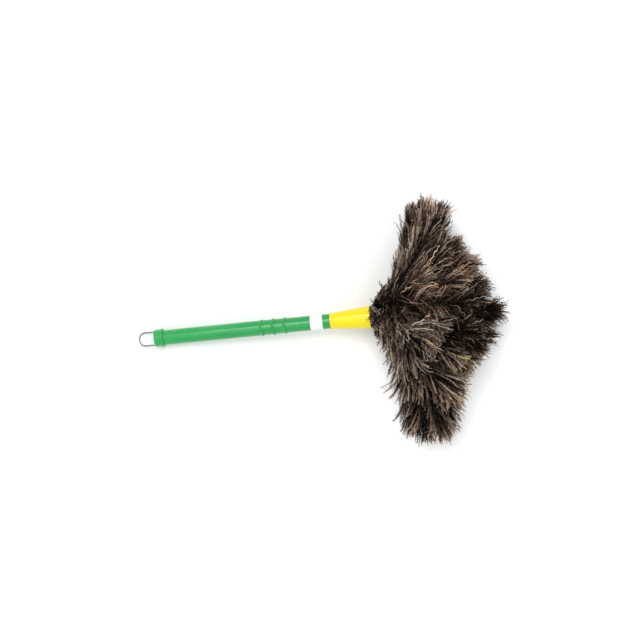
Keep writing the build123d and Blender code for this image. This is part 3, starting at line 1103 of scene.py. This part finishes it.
@dataclass
class PlumeHead:
    """The whole head: one plume for each feather node, with the character of the region where its tip lies.

    Regions are angles in degrees about the collar's mouth, each given by its least angle. Plumes whose tips
    lie above "top_share" of the head's height have regions of their own. Plumes that point near one of the
    outline's "peaks" have a longer shaft.
    """

    first_seed: int = 41
    variation_seed: int = 7
    kinds_from: tuple[tuple[float, PlumeKind], ...] = (
        (42, PlumeKind.SLEEK),
        (17, PlumeKind.CRESTED),
        (-22, PlumeKind.DARK),
        (-52, PlumeKind.OLIVE),
        (-180, PlumeKind.BROAD),
    )
    top_kinds_from: tuple[tuple[float, PlumeKind], ...] = (
        (24, PlumeKind.CRESTED),
        (0, PlumeKind.TOPKNOT),
        (-180, PlumeKind.GREY),
    )
    top_share: float = 0.82
    lightness_spread: float = 0.06
    warmth_spread: float = 0.06
    olive_spread: float = 0.05
    shaft_share: float = 0.91
    peak_gain: float = 0.05
    peaks: tuple[float, ...] = (54, 5, -64)
    peak_width: float = 6.0

    def build(self) -> None:
        """Builds every plume."""
        finishes = [ShaftFinish().material(), PlumeFinish().material()]
        nodes = sorted(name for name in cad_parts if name.startswith("feather_"))
        for number, node in enumerate(nodes):
            piece = self.plume(node, self.first_seed + number).build(finishes)
            LOG.info("plume %s: %d faces", node, len(piece.data.polygons))

    def plume(self, node: str, seed: int) -> Plume:
        """Chooses one plume's character from its place in the head.

        Args:
            node: the feather's node.
            seed: the plume's own seed.

        Returns:
            The plume, not built yet.
        """
        line = ShaftLine(node)
        low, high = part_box("collar")
        tip = line.points[-1]
        angle = math.degrees(math.atan2(tip[1] - (low[1] + high[1]) / 2, tip[0] - high[0]))
        kinds = self.top_kinds_from if tip[2] > self.top_share * CAD_BOX[1][2] else self.kinds_from
        vane = VANES[next(kind for least, kind in kinds if angle >= least)]
        rng = np.random.default_rng(seed * self.variation_seed)
        varied = replace(
            vane,
            lightness=vane.lightness + rng.normal(0, self.lightness_spread),
            warmth=tuple(max(0.0, warmth + rng.normal(0, self.warmth_spread)) for warmth in vane.warmth),
            olive=max(0.0, vane.olive + rng.normal(0, self.olive_spread)),
        )
        nearest = min(abs(angle - peak) for peak in self.peaks)
        shaft_share = self.shaft_share + self.peak_gain * math.exp(-((nearest / self.peak_width) ** 2))
        return Plume(node=node, seed=seed, line=line, vane=varied, shaft_share=shaft_share)


@dataclass
class Handle:
    """The hard pieces, which keep their shapes from the frame and get their finishes here."""

    green: MouldedPlastic = MouldedPlastic(Slot.GREEN, (44, 162, 86), (34, 146, 74))
    yellow: MouldedPlastic = MouldedPlastic(Slot.YELLOW, (240, 224, 22), (232, 212, 14))
    wire: DrawnSteel = DrawnSteel(Slot.WIRE, (176, 180, 180), (112, 116, 116))
    steel: DrawnSteel = DrawnSteel(Slot.STEEL, (180, 180, 180), (120, 120, 120))
    binding: DrawnSteel = DrawnSteel(Slot.BINDING, (150, 144, 136), (84, 78, 72))
    paper: MattSurface = MattSurface(
        slot=Slot.PAPER, low=(214, 214, 206), high=(246, 246, 242), roughness=0.6,
        tones=Grain(180.0, 6.0), tone_limits=(0.28, 0.5),
        relief=Grain(2400.0, 4.0, (1.0, 0.4, 0.4)), relief_height=0.02 * MM,
    )
    wood: MattSurface = MattSurface(
        slot=Slot.WOOD, low=(168, 128, 82), high=(206, 170, 120), roughness=0.65,
        tones=Grain(500.0, 6.0, (0.06, 1.0, 1.0)), tone_limits=(0.35, 0.62),
        relief=Grain(500.0, 6.0, (0.06, 1.0, 1.0)), relief_height=0.05 * MM,
    )

    def nodes_by_finish(self) -> dict[MouldedPlastic | DrawnSteel | MattSurface, tuple[str, ...]]:
        """The hard nodes that each finish is for."""
        return {
            self.green: ("handle_tube", "end_cap"),
            self.yellow: ("collar",),
            self.paper: ("label_band",),
            self.wire: ("hanging_loop",),
            self.wood: ("core_rod",),
            self.steel: ("core_pin",),
            self.binding: ("binding_inner", "binding_middle", "binding_outer"),
        }

    def dress(self) -> None:
        """Gives each hard node its finish."""
        for finish, nodes in self.nodes_by_finish().items():
            material = finish.material()
            for node in nodes:
                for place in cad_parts[node].material_slots:
                    place.material = material
                LOG.info("dressed %s with %s", node, finish.slot.value)


@dataclass(frozen=True)
class Lamp:
    """A rectangular area light: where it hangs, its length and width in metres, and its watts."""

    name: str
    place: Triple
    size: Pair
    power: float


@dataclass
class Studio:
    """Floor, soft lights and the camera that looks straight down on the duster."""

    floor_size: float = 12.0
    surround: float = 0.72
    lamps: tuple[Lamp, ...] = (
        Lamp("key_light", (-0.25, 0.85, 2.3), (1.1, 1.1), 25.0),
        Lamp("fill_light", (0.5, -1.0, 2.1), (1.8, 1.8), 13.0),
        Lamp("strip_light", (-0.1, 0.16, 2.3), (2.0, 0.07), 5.0),
    )
    view_width: float = 1.056
    view_height: float = 0.043
    camera_height: float = 2.6
    aim_along: float = 0.0012
    aim_side: float = 0.0209
    roll: float = 5.7
    sensor: float = 36.0
    clip_end: float = 50.0

    def build(self) -> None:
        """Builds all of it."""
        self.floor()
        self.lights()
        self.camera()
        LOG.info("studio with %d lamps", len(self.lamps))

    def floor(self) -> None:
        """Lays a wide pale floor under the duster."""
        mesh = bpy.data.meshes.new("studio_floor")
        half = self.floor_size / 2
        corners = [(-half, -half, 0), (half, -half, 0), (half, half, 0), (-half, half, 0)]
        mesh.from_pydata(corners, [], [(0, 1, 2, 3)])
        mesh.materials.append(FloorFinish().material())
        floor = bpy.data.objects.new("studio_floor", mesh)
        bpy.context.collection.objects.link(floor)

    def lights(self) -> None:
        """Sets an even pale surround, and hangs the lamps."""
        world = bpy.data.worlds.new("soft_surround")
        world.use_nodes = True
        background = world.node_tree.nodes["Background"]
        background.inputs["Color"].default_value = (1.0, 1.0, 1.0, 1.0)
        background.inputs["Strength"].default_value = self.surround
        bpy.context.scene.world = world
        for lamp in self.lamps:
            self.hang(lamp)

    @staticmethod
    def hang(lamp: Lamp) -> None:
        """Hangs an area light that faces the middle of the floor.

        Args:
            lamp: what it is and where it hangs.
        """
        data = bpy.data.lights.new(lamp.name, "AREA")
        data.shape = "RECTANGLE"
        data.size, data.size_y = lamp.size
        data.energy = lamp.power
        light = bpy.data.objects.new(lamp.name, data)
        light.location = lamp.place
        light.rotation_euler = (-Vector(lamp.place)).to_track_quat("-Z", "Y").to_euler()
        bpy.context.collection.objects.link(light)

    def camera(self) -> None:
        """Looks straight down, turned so that the handle rises to the right."""
        data = bpy.data.cameras.new("camera")
        data.sensor_width = self.sensor
        data.lens = self.sensor * (self.camera_height - self.view_height) / self.view_width
        data.clip_end = self.clip_end
        camera = bpy.data.objects.new("camera", data)
        camera.location = (self.aim_along, self.aim_side, self.camera_height)
        camera.rotation_euler = (0.0, 0.0, -math.radians(self.roll))
        bpy.context.collection.objects.link(camera)
        bpy.context.scene.camera = camera


def main() -> None:
    """Builds the studio, the handle and the head, in that order."""
    logging.basicConfig(level=logging.INFO)
    bpy.context.scene.view_settings.view_transform = "Standard"
    Studio().build()
    Handle().dress()
    PlumeHead().build()


if __name__ == "__main__":
    main()
